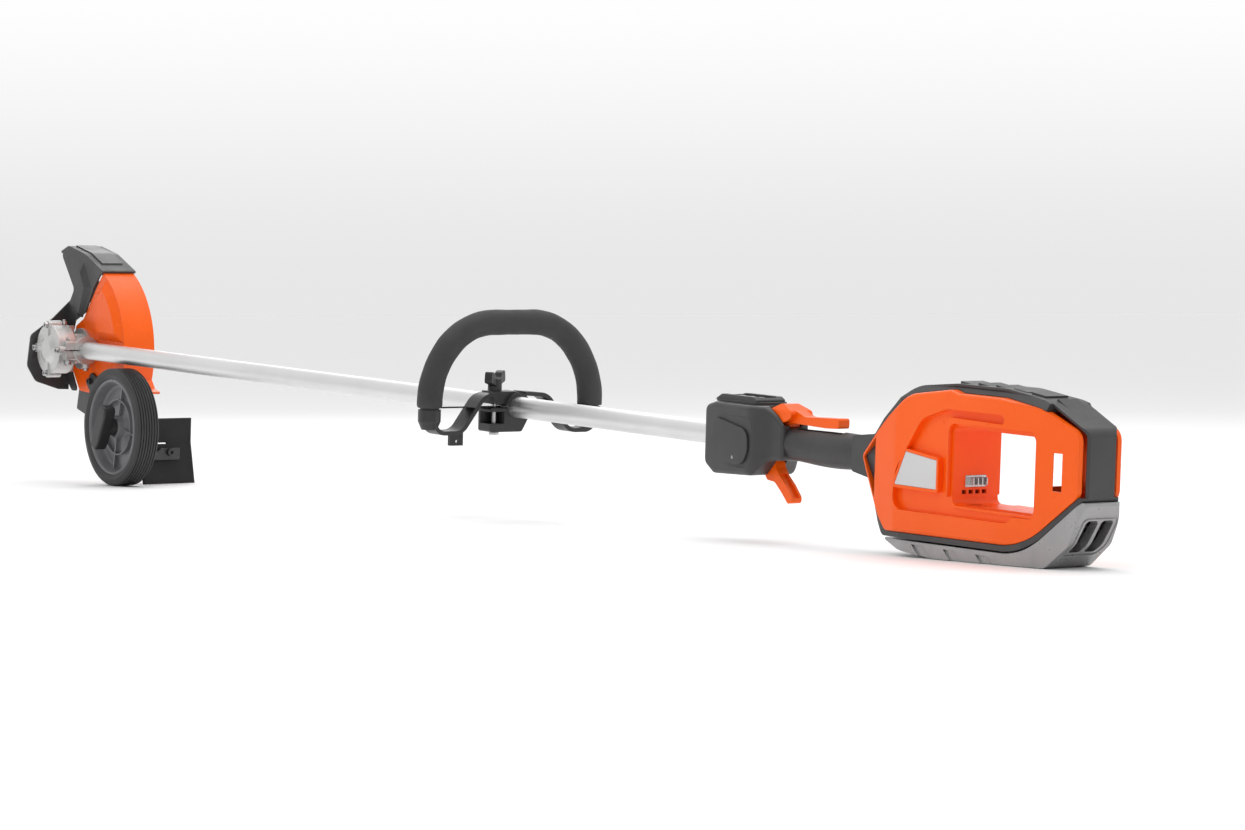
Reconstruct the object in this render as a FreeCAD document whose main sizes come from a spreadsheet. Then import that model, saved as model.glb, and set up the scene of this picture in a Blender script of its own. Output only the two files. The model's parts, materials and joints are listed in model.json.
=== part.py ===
import FreeCAD, Part
import math
import os
import re
from FreeCAD import Placement, Rotation, Vector

# Battery lawn edger: a wheeled edging head on a long aluminium shaft, with a loop handle, a control
# housing and a battery housing.
#
# Every piece is drawn in the machine frame: x runs along the shaft from the head to the battery housing,
# y runs from the wheel side to the blade side, z stands up from the shaft, and the shaft's axis is x.
# MACHINE then lays the machine on the floor, resting on its wheel and its skid, with +Z up.

os.makedirs("parts", exist_ok=True)
doc = FreeCAD.newDocument("lawn_edger")
sheet = doc.addObject("Spreadsheet::Sheet", "Dims")

# Driving dimensions, in millimetres and degrees.
DIMENSIONS = {
    # how the machine lies on the floor
    "lean": 2.84, "shaft_height": 190.7, "centre_x": 1003.987,
    # shaft
    "tube_rad": 12.7, "tube_wall": 1.5, "tube_start": -27.0, "tube_end": 1512.0, "rod_rad": 4.0,
    # gearbox; the blade axis crosses the shaft axis at gear_x
    "gear_x": -55.0, "case_rad": 36.0, "cover_face": -41.0, "cover_joint": -36.0, "neck_rad": 22.0,
    "barrel_rad": 18.5, "barrel_end": -12.0, "pitch_driven": 17.0, "pitch_pinion": 11.9,
    "arbor_rad": 6.0, "seat_rad": 13.0, "lug_circle": 35.0,
    # blade
    "blade_y": 31.5, "blade_thick": 3.0, "blade_half": 100.0, "blade_width": 50.0, "blade_lean": 13.0,
    "arbor_bore": 12.7, "flange_rad": 22.0,
    # guard
    "guard_rad": 128.0, "guard_wall": 3.0, "guard_y": 15.0, "guard_far": 64.0,
    # wheel
    "wheel_x": 109.2, "wheel_z": -101.8, "wheel_rad": 83.6, "wheel_near": -25.0, "wheel_width": 35.0,
    "rim_rad": 68.5, "axle_rad": 5.0, "bush_rad": 8.0,
    # debris flap
    "flap_near": 24.0, "flap_far": 107.0, "flap_thick": 4.0,
    # loop handle
    "loop_x": 1086.0, "loop_half": 117.0, "loop_top": 102.0, "foam_rad": 15.5, "loop_rad": 11.5,
    "strap_thick": 5.0, "strap_width": 26.0,
    # control housing
    "ctrl_half": 33.0, "ctrl_wall": 2.5, "motor_x": 1540.0, "motor_rad": 27.0, "motor_long": 40.0,
    # grip
    "grip_start": 1638.0, "grip_end": 1757.0, "grip_half": 16.5, "grip_tall": 18.5,
    # battery housing
    "house_half": 36.0, "spine_half": 23.0, "house_wall": 2.6, "bay_x0": 1937.0, "bay_x1": 2060.0,
    "bay_z0": -38.0, "bay_z1": 43.0,
    # running clearances
    "running": 0.05, "gap": 0.3,
}
for row, (alias, value) in enumerate(DIMENSIONS.items(), start=1):
    sheet.set(f"A{row}", alias)
    sheet.set(f"B{row}", str(value))
    sheet.setAlias(f"B{row}", alias)
doc.recompute()

WORD = re.compile("|".join(sorted((rf"\b{name}\b" for name in DIMENSIONS), key=len, reverse=True)))
D = type("Dimensions", (), {name: float(sheet.get(name)) for name in DIMENSIONS})


def bind(thing, **sizes):
    """Bind each property of thing to an expression of the sheet's aliases, or set a plain number."""
    for name, size in sizes.items():
        if isinstance(size, str):
            thing.setExpression(name, WORD.sub(lambda found: "Dims." + found.group(0), size))
        else:
            setattr(thing, name, size)


# ---------------------------------------------------------------- primitives in the machine frame
ALONG = {
    "x": Rotation(Vector(0, 1, 0), 90),
    "y": Rotation(Vector(1, 0, 0), -90),
    "z": Rotation(),
}


def cylinder(radius, length, at, along):
    """A solid cylinder that starts at a point and runs length along an axis."""
    thing = doc.addObject("Part::Cylinder", "Cylinder")
    bind(thing, Radius=radius, Height=length)
    thing.Placement = Placement(Vector(*at), ALONG[along])
    return thing


def cone(radius_1, radius_2, length, at, along):
    thing = doc.addObject("Part::Cone", "Cone")
    bind(thing, Radius1=radius_1, Radius2=radius_2, Height=length)
    thing.Placement = Placement(Vector(*at), ALONG[along])
    return thing


def box(low, high):
    """A box between two corners."""
    thing = doc.addObject("Part::Box", "Box")
    thing.Length, thing.Width, thing.Height = (b - a for a, b in zip(low, high))
    thing.Placement.Base = Vector(*low)
    return thing


def cut(base, *tools):
    thing = doc.addObject("Part::Cut", "Cut")
    thing.Base = base
    thing.Tool = tools[0] if len(tools) == 1 else fuse(*tools)
    return thing


def fuse(*parts):
    thing = doc.addObject("Part::MultiFuse", "Fusion")
    thing.Shapes = list(parts)
    thing.Refine = True
    return thing


def common(base, tool):
    thing = doc.addObject("Part::Common", "Common")
    thing.Base = base
    thing.Tool = tool
    return thing


def group(*parts):
    """Separate solids of one node, such as a set of screws."""
    thing = doc.addObject("Part::Compound", "Group")
    thing.Links = list(parts)
    return thing


def fillet(base, radius, wanted):
    """Round the edges of base that wanted() picks."""
    doc.recompute()
    edges = [(n, radius, radius) for n, edge in enumerate(base.Shape.Edges, start=1) if wanted(edge)]
    thing = doc.addObject("Part::Fillet", "Rounding")
    thing.Base = base
    thing.Edges = edges
    return thing


def tube(outer, inner, length, at, along):
    """A ring or sleeve; its bore runs past both ends."""
    past = 1.0
    start = Vector(*at) - ALONG[along].multVec(Vector(0, 0, past))
    bore_length = f"{length} + {2 * past}" if isinstance(length, str) else length + 2 * past
    return cut(cylinder(outer, length, at, along), cylinder(inner, bore_length, tuple(start), along))


# ---------------------------------------------------------------- outlines and sketches
def inset(outline, by):
    """The same outline drawn inward by a distance; outlines run anticlockwise."""
    count = len(outline)
    lines = []
    for n in range(count):
        (x1, y1), (x2, y2) = outline[n][:2], outline[(n + 1) % count][:2]
        length = math.hypot(x2 - x1, y2 - y1)
        nx, ny = -(y2 - y1) / length, (x2 - x1) / length
        lines.append((nx, ny, nx * x1 + ny * y1 + by))
    result = []
    for n in range(count):
        (a1, b1, c1), (a2, b2, c2) = lines[n - 1], lines[n]
        det = a1 * b2 - a2 * b1
        radius = max((outline[n][2] if len(outline[n]) > 2 else 0) - by, 0.5)
        result.append(((c1 * b2 - c2 * b1) / det, (a1 * c2 - a2 * c1) / det, radius))
    return result


def fitting_radii(points, radii):
    """Corner radii reduced where two neighbouring arcs would meet on the side between them."""
    count = len(points)
    half_turns, backs = [], []
    for n in range(count):
        to_before = points[n - 1] - points[n]
        to_after = points[(n + 1) % count] - points[n]
        half_turns.append(math.tan(to_before.getAngle(to_after) / 2))
        backs.append(radii[n] / half_turns[n])
    share = [1.0] * count
    for n in range(count):
        after = (n + 1) % count
        wanted = backs[n] + backs[after]
        room = (points[after] - points[n]).Length * 0.96
        if wanted > room:
            share[n] = min(share[n], room / wanted)
            share[after] = min(share[after], room / wanted)
    return [radius * part for radius, part in zip(radii, share)]


def outline_edges(outline):
    """Lines and tangent arcs of a closed outline of (x, y) or (x, y, corner radius) points."""
    points = [Vector(p[0], p[1], 0) for p in outline]
    count = len(points)
    radii = fitting_radii(points, [p[2] if len(p) > 2 else 0 for p in outline])
    entry, leave, arcs = [], [], []
    for n in range(count):
        corner, before, after = points[n], points[n - 1], points[(n + 1) % count]
        to_before = (before - corner).normalize()
        to_after = (after - corner).normalize()
        turn = to_before.getAngle(to_after)
        if radii[n] <= 0 or turn > math.pi - 1e-4:
            entry.append(corner)
            leave.append(corner)
            arcs.append(None)
            continue
        back = radii[n] / math.tan(turn / 2)
        middle = (to_before + to_after).normalize() * (radii[n] / math.sin(turn / 2) - radii[n])
        entry.append(corner + to_before * back)
        leave.append(corner + to_after * back)
        arcs.append(corner + middle)
    edges = []
    for n in range(count):
        if arcs[n] is not None:
            edges.append(Part.Arc(entry[n], arcs[n], leave[n]))
        start, end = leave[n], entry[(n + 1) % count]
        if (end - start).Length > 1e-6:
            edges.append(Part.LineSegment(start, end))
    return edges


def sketch_in(body, edges):
    sketch = body.newObject("Sketcher::SketchObject", "Sketch")
    plane = next(f for f in body.Origin.OriginFeatures if f.Role == "XY_Plane")
    sketch.AttachmentSupport = [(plane, "")]
    sketch.MapMode = "FlatFace"
    for edge in edges:
        sketch.addGeometry(edge, False)
    return sketch


FACING = {
    # side view: sketch x is x, sketch y is z, and the pad runs towards -y
    "side": Rotation(Vector(1, 0, 0), 90),
    # end view: sketch x is y, sketch y is z, and the pad runs towards +x
    "end": Rotation(Vector(0, 1, 0), Vector(0, 0, 1), Vector(1, 0, 0), "ZXY"),
    # plan view: the pad runs towards +z
    "plan": Rotation(),
}


def pad(outline, length, at, facing, holes=()):
    """A padded sketch. holes are (x, y, radius) circles in the sketch."""
    body = doc.addObject("PartDesign::Body", "Body")
    edges = outline_edges(outline)
    edges += [Part.Circle(Vector(x, y, 0), Vector(0, 0, 1), radius) for x, y, radius in holes]
    sketch = sketch_in(body, edges)
    feature = body.newObject("PartDesign::Pad", "Pad")
    feature.Profile = sketch
    bind(feature, Length=length)
    body.Placement = Placement(Vector(*at), FACING[facing])
    return body


def side_pad(outline, y_low, y_high, holes=()):
    """An outline in x and z, filled from y_low to y_high."""
    return pad(outline, y_high - y_low, (0, y_high, 0), "side", holes)


def end_pad(outline, x_low, x_high, holes=()):
    """An outline in y and z, filled from x_low to x_high."""
    return pad(outline, x_high - x_low, (x_low, 0, 0), "end", holes)


def turned(profile, at=(0, 0, 0), about="y"):
    """A closed profile of (radius, along) points turned about an axis through a point."""
    body = doc.addObject("PartDesign::Body", "Body")
    sketch = sketch_in(body, outline_edges(profile))
    feature = body.newObject("PartDesign::Revolution", "Revolution")
    feature.Profile = sketch
    feature.ReferenceAxis = (sketch, ["V_Axis"])
    feature.Angle = 360
    facing = {"y": Rotation(), "x": Rotation(Vector(0, 0, 1), -90), "z": Rotation(Vector(1, 0, 0), 90)}
    body.Placement = Placement(Vector(*at), facing[about])
    return body


def shaped(shape, name="Shape"):
    """A shape that no feature makes well, such as a pipe along a bent path."""
    thing = doc.addObject("Part::Feature", name)
    thing.Shape = shape
    return thing


def rounded_box(low, high, radius, facing="side"):
    """A box whose corners are rounded as seen along the pad's direction."""
    if facing == "side":
        outline = [(low[0], low[2]), (high[0], low[2]), (high[0], high[2]), (low[0], high[2])]
        return side_pad([(*p, radius) for p in outline], low[1], high[1])
    if facing == "end":
        outline = [(low[1], low[2]), (high[1], low[2]), (high[1], high[2]), (low[1], high[2])]
        return end_pad([(*p, radius) for p in outline], low[0], high[0])
    outline = [(low[0], low[1]), (high[0], low[1]), (high[0], high[1]), (low[0], high[1])]
    return pad([(*p, radius) for p in outline], high[2] - low[2], (0, 0, low[2]), "plan")


def on_circle(radius, degrees, centre_x=0.0, centre_z=0.0):
    turn = math.radians(degrees)
    return centre_x + radius * math.cos(turn), centre_z + radius * math.sin(turn)


def socket_screw(head_at, along, sign, head_rad, head_long, shank_rad, shank_long):
    """A cap screw. sign is +1 when the shank runs towards + from the head's outer face."""
    axis = ALONG[along].multVec(Vector(0, 0, 1)) * sign
    start = Vector(*head_at)

    def stretch(radius, first, last):
        low = start + axis * (first if sign > 0 else last)
        return cylinder(radius, last - first, tuple(low), along)

    solid = fuse(stretch(head_rad, 0, head_long), stretch(shank_rad, head_long - 0.5, head_long + shank_long))
    return cut(solid, stretch(head_rad * 0.5, -1, head_long * 0.6))


# ---------------------------------------------------------------- how nodes are named and laid down
lean = Rotation(Vector(0, 1, 0), D.lean)
MACHINE = Placement(Vector(-D.centre_x, 0, D.shaft_height), lean)
NODES = {}


def node(label, thing):
    """Name a finished piece and lay it down with the machine."""
    thing.Label = label
    thing.Placement = MACHINE.multiply(thing.Placement)
    NODES[label] = thing
    return thing


GX = D.gear_x


# ---------------------------------------------------------------- gearbox
LUG_ANGLES = (90, 180, 270, 0)


def gearbox_case():
    joint, neck_end = D.cover_joint, 20.0
    drum = cylinder("case_rad", 22.0, (GX, joint, 0), "y")
    taper = cone("case_rad", "neck_rad", 10.0, (GX, joint + 22, 0), "y")
    neck = cylinder("neck_rad", neck_end - joint - 32, (GX, joint + 32, 0), "y")
    flange = cylinder(30.0, 4.0, (GX, D.guard_y - D.gap - 4, 0), "y")
    barrel = cylinder("barrel_rad", D.barrel_end - GX, (GX, 0, 0), "x")
    collar = cylinder("barrel_rad + 1.8", 3.0, (D.barrel_end - 3, 0, 0), "x")
    ear = rounded_box((-31, -33, -14), (D.barrel_end - 2, -10, 14), 4.0, "side")
    locator = cylinder(6.0, 22.0, (-22, 4, -26), "z")
    lugs = [cylinder(6.5, 14.0, (x, joint, z), "y")
            for x, z in (on_circle(D.lug_circle, a, GX) for a in LUG_ANGLES)]
    ribs = [box((GX - 1.5, joint + 21, -34), (GX + 1.5, joint + 36, 34))]
    solid = fuse(drum, taper, neck, flange, barrel, collar, ear, locator, *lugs, *ribs)
    chamber = cylinder(20.5, 33.0, (GX, joint - 1, 0), "y")
    pinion_room = cylinder("pitch_pinion + 0.8", 20.0, (GX, 0, 0), "x")
    shaft_room = cylinder(9.0, 30.0, (GX, -5, 0), "y")
    seat = cylinder("seat_rad", neck_end - 10 + 1, (GX, 10, 0), "y")
    pinion_seat = cylinder(11.0, 9.5, (-36, 0, 0), "x")
    bore = cylinder("tube_rad + running", D.barrel_end - D.tube_start + 1, (D.tube_start, 0, 0), "x")
    split = box((D.tube_start - 1, -40, -0.8), (D.barrel_end + 1, 0, 0.8))
    clamp_hole = cylinder(3.1, 60.0, (-21.5, -26, -30), "z")
    locator_hole = cylinder(2.6, 18.0, (-22, 4, -27), "z")
    head_room = cylinder(5.3, 20.0, (-21.5, -26, -34.1), "z")
    cover_holes = [cylinder(2.5, 8.0, (x, joint - 1, z), "y")
                   for x, z in (on_circle(D.lug_circle, a, GX) for a in LUG_ANGLES)]
    plug_hole = cylinder(2.5, 20.0, (GX + 3, -17.5, 20), "z")
    guard_holes = [cylinder(2.0, 8.0, (x, 9, z), "y")
                   for x, z in (on_circle(26, a, GX) for a in (45, 135, 225, 315))]
    node("gearbox_case", cut(solid, chamber, pinion_room, shaft_room, seat, pinion_seat, bore, split,
                             clamp_hole, locator_hole, plug_hole, head_room, *cover_holes, *guard_holes))


def gearbox_cover():
    face, joint = D.cover_face, D.cover_joint
    disc = cylinder("case_rad", joint - face, (GX, face, 0), "y")
    lugs = [cylinder(6.5, joint - face + 1.5, (x, face - 1.5, z), "y")
            for x, z in (on_circle(D.lug_circle, a, GX) for a in LUG_ANGLES)]
    dome = cone(14.0, 23.0, 4.0, (GX, face - 4, 0), "y")
    ribs = []
    for angle in LUG_ANGLES:
        rib = box((8, face - 2.5, -3.2), (D.lug_circle - 4.6, joint, 3.2))
        rib.Placement = Placement(Vector(GX, 0, 0), Rotation(Vector(0, 1, 0), -angle)).multiply(rib.Placement)
        ribs.append(rib)
    spigot = tube(20.3, "seat_rad", 4.0, (GX, joint, 0), "y")
    solid = fuse(disc, *lugs, dome, *ribs)
    pocket = cylinder("seat_rad", 3.0, (GX, joint - 2, 0), "y")
    holes = [cylinder(2.6, 12.0, (x, face - 4, z), "y")
             for x, z in (on_circle(D.lug_circle, a, GX) for a in LUG_ANGLES)]
    node("gearbox_cover", fuse(cut(solid, pocket, *holes), spigot))


def gearbox_screws():
    heads = D.cover_face - 1.5 - 5.02
    screws = [socket_screw((x, heads, z), "y", 1, 4.2, 5.0, 2.45, 11.0)
              for x, z in (on_circle(D.lug_circle, a, GX) for a in LUG_ANGLES)]
    clamp = socket_screw((-21.5, -26, -20.5), "z", 1, 5.0, 6.2, 3.0, 26.0)
    locator = socket_screw((-22, 4, -30), "z", 1, 4.0, 3.8, 2.5, 13.0)
    node("gearbox_screws", group(*screws, clamp, locator))
    stem = cylinder(2.45, 9.5, (GX + 3, -17.5, 28), "z")
    cap = cylinder(4.0, 4.0, (GX + 3, -17.5, 36.1), "z")
    ball = cylinder(2.4, 3.5, (GX + 3, -17.5, 39.5), "z")
    node("grease_plug", fuse(stem, cap, ball))


def gears():
    driven, pinion = D.pitch_driven, D.pitch_pinion
    slope = pinion / driven
    # driven gear on the blade arbor, towards the cover
    cone_part = cone("pitch_driven", 8.0, pinion - 8.0 * slope, (GX, -pinion, 0), "y")
    back = cylinder("pitch_driven", 5.5, (GX, -pinion - 5.5, 0), "y")
    hub = cylinder(9.0, 8.0, (GX, -pinion - 13.5, 0), "y")
    teeth = []
    for n in range(20):
        tooth_gap = box((driven - 3.4, -pinion - 6, -0.6), (driven + 1, -pinion + 2.3, 0.6))
        tooth_gap.Placement = Placement(Vector(GX, 0, 0), Rotation(Vector(0, 1, 0), 18.0 * n)).multiply(
            tooth_gap.Placement)
        teeth.append(tooth_gap)
    bore = cylinder("arbor_rad", 40.0, (GX, -30, 0), "y")
    node("driven_gear", cut(fuse(cone_part, back, hub), bore, *teeth))
    # pinion with its hollow shaft
    shift = 0.4
    small = 8.0
    pinion_cone = cone(small * slope, "pitch_pinion", driven - small, (GX + small + shift, 0, 0), "x")
    shaft = cylinder(5.5, 19.0, (GX + driven + shift, 0, 0), "x")
    gaps = []
    for n in range(14):
        gap = box((GX + driven - 5, pinion - 3.0, -0.6), (GX + driven + 2, pinion + 1, 0.6))
        gap.Placement = Placement(Vector(), Rotation(Vector(1, 0, 0), 360.0 / 14 * n)).multiply(gap.Placement)
        gaps.append(gap)
    socket = cylinder("rod_rad + 0.02", 20.0, (-30, 0, 0), "x")
    node("pinion_gear", cut(fuse(pinion_cone, shaft), socket, *gaps))


def arbor():
    inner_end, nut_end = D.blade_y - 8.5, D.blade_y + D.blade_thick + 17
    shaft = cylinder("arbor_rad", nut_end + 34, (GX, -34, 0), "y")
    node("blade_arbor", shaft)
    rings = [tube("seat_rad - 0.01", "arbor_rad + 0.01", 6.0, (GX, y, 0), "y") for y in (-37.5, 10.2)]
    pinion_ring = tube(10.99, 5.51, 6.0, (-35, 0, 0), "x")
    x0 = D.motor_x
    for x in (x0 - 2.2, x0 + D.motor_long + 0.1):
        rings.append(tube("rod_rad + 3.49", "rod_rad + 0.01", 2.1, (x, 0, 0), "x"))
    node("ball_bearings", group(*rings, pinion_ring))
    flange = fuse(cylinder("flange_rad", 3.0, (GX, D.blade_y - 3, 0), "y"),
                  cylinder(11.0, D.blade_y - 3 - inner_end + 1.5, (GX, inner_end - 1.5, 0), "y"))
    bore = cylinder("arbor_rad", 30.0, (GX, 15, 0), "y")
    node("inner_flange", cut(fuse(flange, cylinder("arbor_bore - 0.05", 1.5, (GX, D.blade_y, 0), "y")), bore))
    back = D.blade_y + D.blade_thick
    washer = cone("flange_rad", 16.0, 4.0, (GX, back, 0), "y")
    node("outer_flange", cut(washer, cylinder("arbor_rad + 0.05", 10.0, (GX, back - 2, 0), "y")))
    hexagon = [on_circle(11.0, 60 * n, GX) for n in range(6)]
    nut = side_pad(hexagon, back + 4, back + 13)
    node("blade_nut", cut(nut, cylinder("arbor_rad", 20.0, (GX, back, 0), "y")))


def blade():
    half, wide = D.blade_half, D.blade_width / 2
    outline = [(-half, -wide, 3), (half, -wide, 3), (half, wide, 3), (-half, wide, 3)]
    turn = math.radians(90 - D.blade_lean)
    spun = [(GX + x * math.cos(turn) - z * math.sin(turn), x * math.sin(turn) + z * math.cos(turn), r)
            for x, z, r in outline]
    plate = side_pad(spun, D.blade_y, D.blade_y + D.blade_thick, [(GX, 0, D.arbor_bore)])
    node("blade", plate)


# ---------------------------------------------------------------- guard
HUB_HOLE = 22.5


def arc_points(radius, start, end, steps, centre=(GX, 0.0)):
    return [on_circle(radius, start + (end - start) * n / steps, *centre) for n in range(steps + 1)]


def band(radius, thick, start, end, y_low, y_high):
    """Part of a drum wall about the blade axis, between two angles."""
    span = end - start
    ring = shaped(Part.makeCylinder(radius, y_high - y_low, Vector(GX, y_low, 0), Vector(0, 1, 0), 360)
                  .cut(Part.makeCylinder(radius - thick, y_high - y_low, Vector(GX, y_low, 0), Vector(0, 1, 0))))
    far = radius * 1.6
    wedge = [(GX, 0.0)] + [on_circle(far, start + span * n / 4, GX) for n in range(5)]
    return common(ring, side_pad(wedge, y_low, y_high))


GUARD_TOP, GUARD_LOW = 62.0, -24.0


def blade_guard():
    radius, wall, y0, far = D.guard_rad, D.guard_wall, D.guard_y, D.guard_far
    rim = band(radius, wall, GUARD_LOW, GUARD_TOP, y0, far)
    # the side wall: a sector from the hub to the rim
    sector = [(-87, -30, 8), (-62, -62, 6), (-20, -64, 6), (34, -82, 4)]
    sector += [on_circle(radius - 0.5, a, GX) for a in (-24, -12, 0, 12, 24, 36, 48, 62)]
    sector += [(-14, 92, 4), (GX + 2, 44, 8), (GX - 22, 32, 6)]
    wall_plate = side_pad(sector, y0, y0 + wall, [(GX, 0, HUB_HOLE)])
    trimmed = common(wall_plate, cylinder("guard_rad", 40.0, (GX, 0, 0), "y"))
    # the pressed-out panel: an outer frustum along the rim, hollow inside
    base = [(-20, 36), (-4, 16)]
    base += [on_circle(radius - 1.5, a, GX) for a in (7.3, 18, 30, 42, 56)]
    base += [(-12, 82)]
    top = inset(base, 12)
    raised = pyramid(base, top, y0, y0 - 8)
    hollow = pyramid(inset(base, 3), inset(base, 14), y0 + 0.1 + wall, y0 - 8 + wall)
    # the flared lip where the guard throws the soil down
    lip = side_pad([(62, -50), (76, -54.5), (91.5, -57), (92, -54), (77, -50), (67, -38), (63, -36)], y0 + 6, far)
    solid = fuse(trimmed, raised, rim, lip)
    bolt_holes = [cylinder(2.1, 8.0, (x, y0 - 2, z), "y")
                  for x, z in (on_circle(26, a, GX) for a in (45, 135, 225, 315))]
    strut_holes = [cylinder(2.7, 10.0, (x, y0 - 3, z), "y") for x, z in BRACKET_BOLTS]
    barrel = cylinder("barrel_rad + 2.4", 48.0, (GX, 0, 0), "x")
    node("blade_guard", cut(solid, hollow, barrel, *bolt_holes, *strut_holes))


BRACKET_BOLTS = ((-24.0, -46.0), (10.0, -62.0))


HOOD_SIDE = [(-18, 92, 4), (-44, 54, 6), (-76, 40, 8), (-90, 4, 6), (-84, -34, 6), (-66, -63, 4), (-82, -63, 6),
             (-97, -50, 8), (-97, 62, 8), (-80, 86, 8), (-125, 140, 10), (-100, 149, 10), (-48, 139, 30),
             (6, 117, 2)]
HOOD_SIDE.reverse()


def pyramid(base, top, y_base, y_top):
    """A raised panel between two outlines at two distances along y."""
    wires = []
    for outline, y in ((base, y_base), (top, y_top)):
        points = [Vector(p[0], y, p[1]) for p in outline]
        wires.append(Part.makePolygon(points + points[:1]))
    return shaped(Part.makeLoft(wires, True, True))


def guard_hood():
    """Dark cap over the top and front of the blade, with its side wall and the shield before the gearbox."""
    y0, far = D.guard_y - 2.5, D.guard_far + 2.5
    side = side_pad(HOOD_SIDE, y0, y0 + 2.4)
    # the cap: a curved band over the blade
    top = [(6, 117, 0), (-48, 139, 30), (-100, 149, 10), (-124, 140, 6), (-121.5, 137, 4), (-100, 145.8, 8),
           (-48.5, 135.8, 28), (4.8, 114, 0)]
    top.reverse()
    cap = side_pad(top, y0, far)
    lip = side_pad([(8, 116), (2, 118.5), (-6, 121), (-8, 116), (4, 110)], y0, far)
    # the shield stands across the front of the gearbox
    front = [(28, -63, 2), (28, 80, 3), (-12, 43, 8), (-48, 18, 10), (-53, -27, 14), (-39, -50, 12), (-2, -62, 6)]
    front.reverse()
    shield = end_pad(front, -99.0, -96.5)
    edge = end_pad(front, -99.0, -90.0)
    inside = end_pad(inset(front, 2.2), -101.0, -80.0)
    keep = box((-110, -70, -80), (-80, y0 - 0.1, 90))
    rolled = common(cut(edge, inside), keep)
    rib = pyramid([(-52, 128), (-70, 92), (-64, 46), (-52, 46), (-26, 92)],
                  [(-53, 112), (-62, 90), (-60, 52), (-55, 52), (-40, 90)], y0 + 0.5, y0 - 5.5)
    solid = fuse(side, cap, lip, shield, rolled, rib)
    hub = cylinder("case_rad + 1.5", 41.0, (GX, -36, 0), "y")
    flange = cylinder(31.0, 20.0, (GX, 4, 0), "y")
    drum = cylinder("guard_rad + gap", 60.0, (GX, D.guard_y - 0.05, 0), "y")
    node("guard_hood", cut(solid, hub, flange, drum))


FLAP_TAB = 115.2


def guard_fasteners():
    y_heads = D.guard_y + D.guard_wall + 3
    screws = []
    for x, z in (on_circle(26, a, GX) for a in (45, 135, 225, 315)):
        screws.append(socket_screw((x, y_heads, z), "y", -1, 3.2, 3.0, 1.95, 7.0))
    for x, z in BRACKET_BOLTS:
        screws.append(socket_screw((x, D.guard_y - 7.3, z), "y", 1, 4.5, 4.0, 2.6, 8.0))
    screws.append(socket_screw((WX, 22.0, ARM_Z), "y", -1, 4.5, 4.0, 2.6, 6.2))
    screws.append(socket_screw((FLAP_TAB + 8, 68.0, -139), "x", -1, 5.5, 5.0, 3.1, 15.0))
    screws.append(tube(5.5, 3.15, 3.0, (FLAP_TAB - 12, 68.0, -139), "x"))
    node("guard_screws", group(*screws))
    y_low, y_high = D.guard_y + 8, D.guard_far - 8
    ring = cut(side_pad(inset(HOOD_SIDE, -1.7), y_low, y_high),
               side_pad(inset(HOOD_SIDE, -0.1), y_low - 1, y_high + 1))
    node("hood_wear_strip", common(ring, box((-96, 0, 100), (-14, 90, 170))))


# ---------------------------------------------------------------- wheel and its bracket
WX, WZ = D.wheel_x, D.wheel_z
SLOT_DOWN = 25.0
ARM_Z = -144.0


def wheel_bracket():
    y1 = D.guard_y - 0.3
    y0 = y1 - 3.0
    outline = [(-36, -50, 6), (WX - 18, WZ - 56, 10), (WX + 18, WZ - 56, 10), (WX + 16, WZ + 16, 10), (60, -64, 20),
               (10, -46, 8), (-20, -32, 6)]
    plate = side_pad(outline, y0, y1)
    slot = rounded_box((WX - 5.3, y0 - 1, WZ - SLOT_DOWN - 5.3), (WX + 5.3, y1 + 1, WZ + 5.3), 5.25)
    holes = [cylinder(2.7, 10.0, (x, y0 - 3, z), "y") for x, z in BRACKET_BOLTS]
    arm_hole = cylinder(2.7, 10.0, (WX, y0 - 3, ARM_Z), "y")
    node("wheel_bracket", cut(plate, slot, arm_hole, *holes))


def wheel_carriage():
    """The axle bolt, its keyed block in the slot and the clamp plate behind the bracket."""
    y1 = D.guard_y - 0.3
    bolt = cylinder("axle_rad", y1 + 1 + 42, (WX, -42, WZ), "y")
    block = rounded_box((WX - 5.1, y1 - 3.0, WZ - 5.1), (WX + 5.1, y1 + 0.5, WZ + 5.1), 4.9)
    plate = rounded_box((WX - 10, y1 + 0.3, WZ - 10), (WX + 10, y1 + 4.3, WZ + 10), 4.0)
    node("axle_bolt", fuse(bolt, block, plate))


def tyre():
    near, far = D.wheel_near, D.wheel_near + D.wheel_width
    outer, inner = D.wheel_rad, D.rim_rad
    profile = [(inner, near + 2.5, 1), (outer - 9, near, 3), (outer - 1.5, near + 1.6, 2)]
    grooves = 7
    first, last = near + 5.5, far - 4.5
    pitch = (last - first) / (grooves - 1)
    profile.append((outer, near + 4.0, 0))
    for n in range(grooves):
        centre = first + pitch * n
        profile += [(outer, centre - 0.9, 0), (outer - 2.0, centre - 0.4, 0), (outer - 2.0, centre + 0.4, 0),
                    (outer, centre + 0.9, 0)]
    profile += [(outer, far - 3.0, 0), (outer - 1.5, far - 1.2, 1), (outer - 9, far, 3), (inner, far - 2.5, 1)]
    node("tyre", turned(profile, (WX, 0, WZ)))


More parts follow.
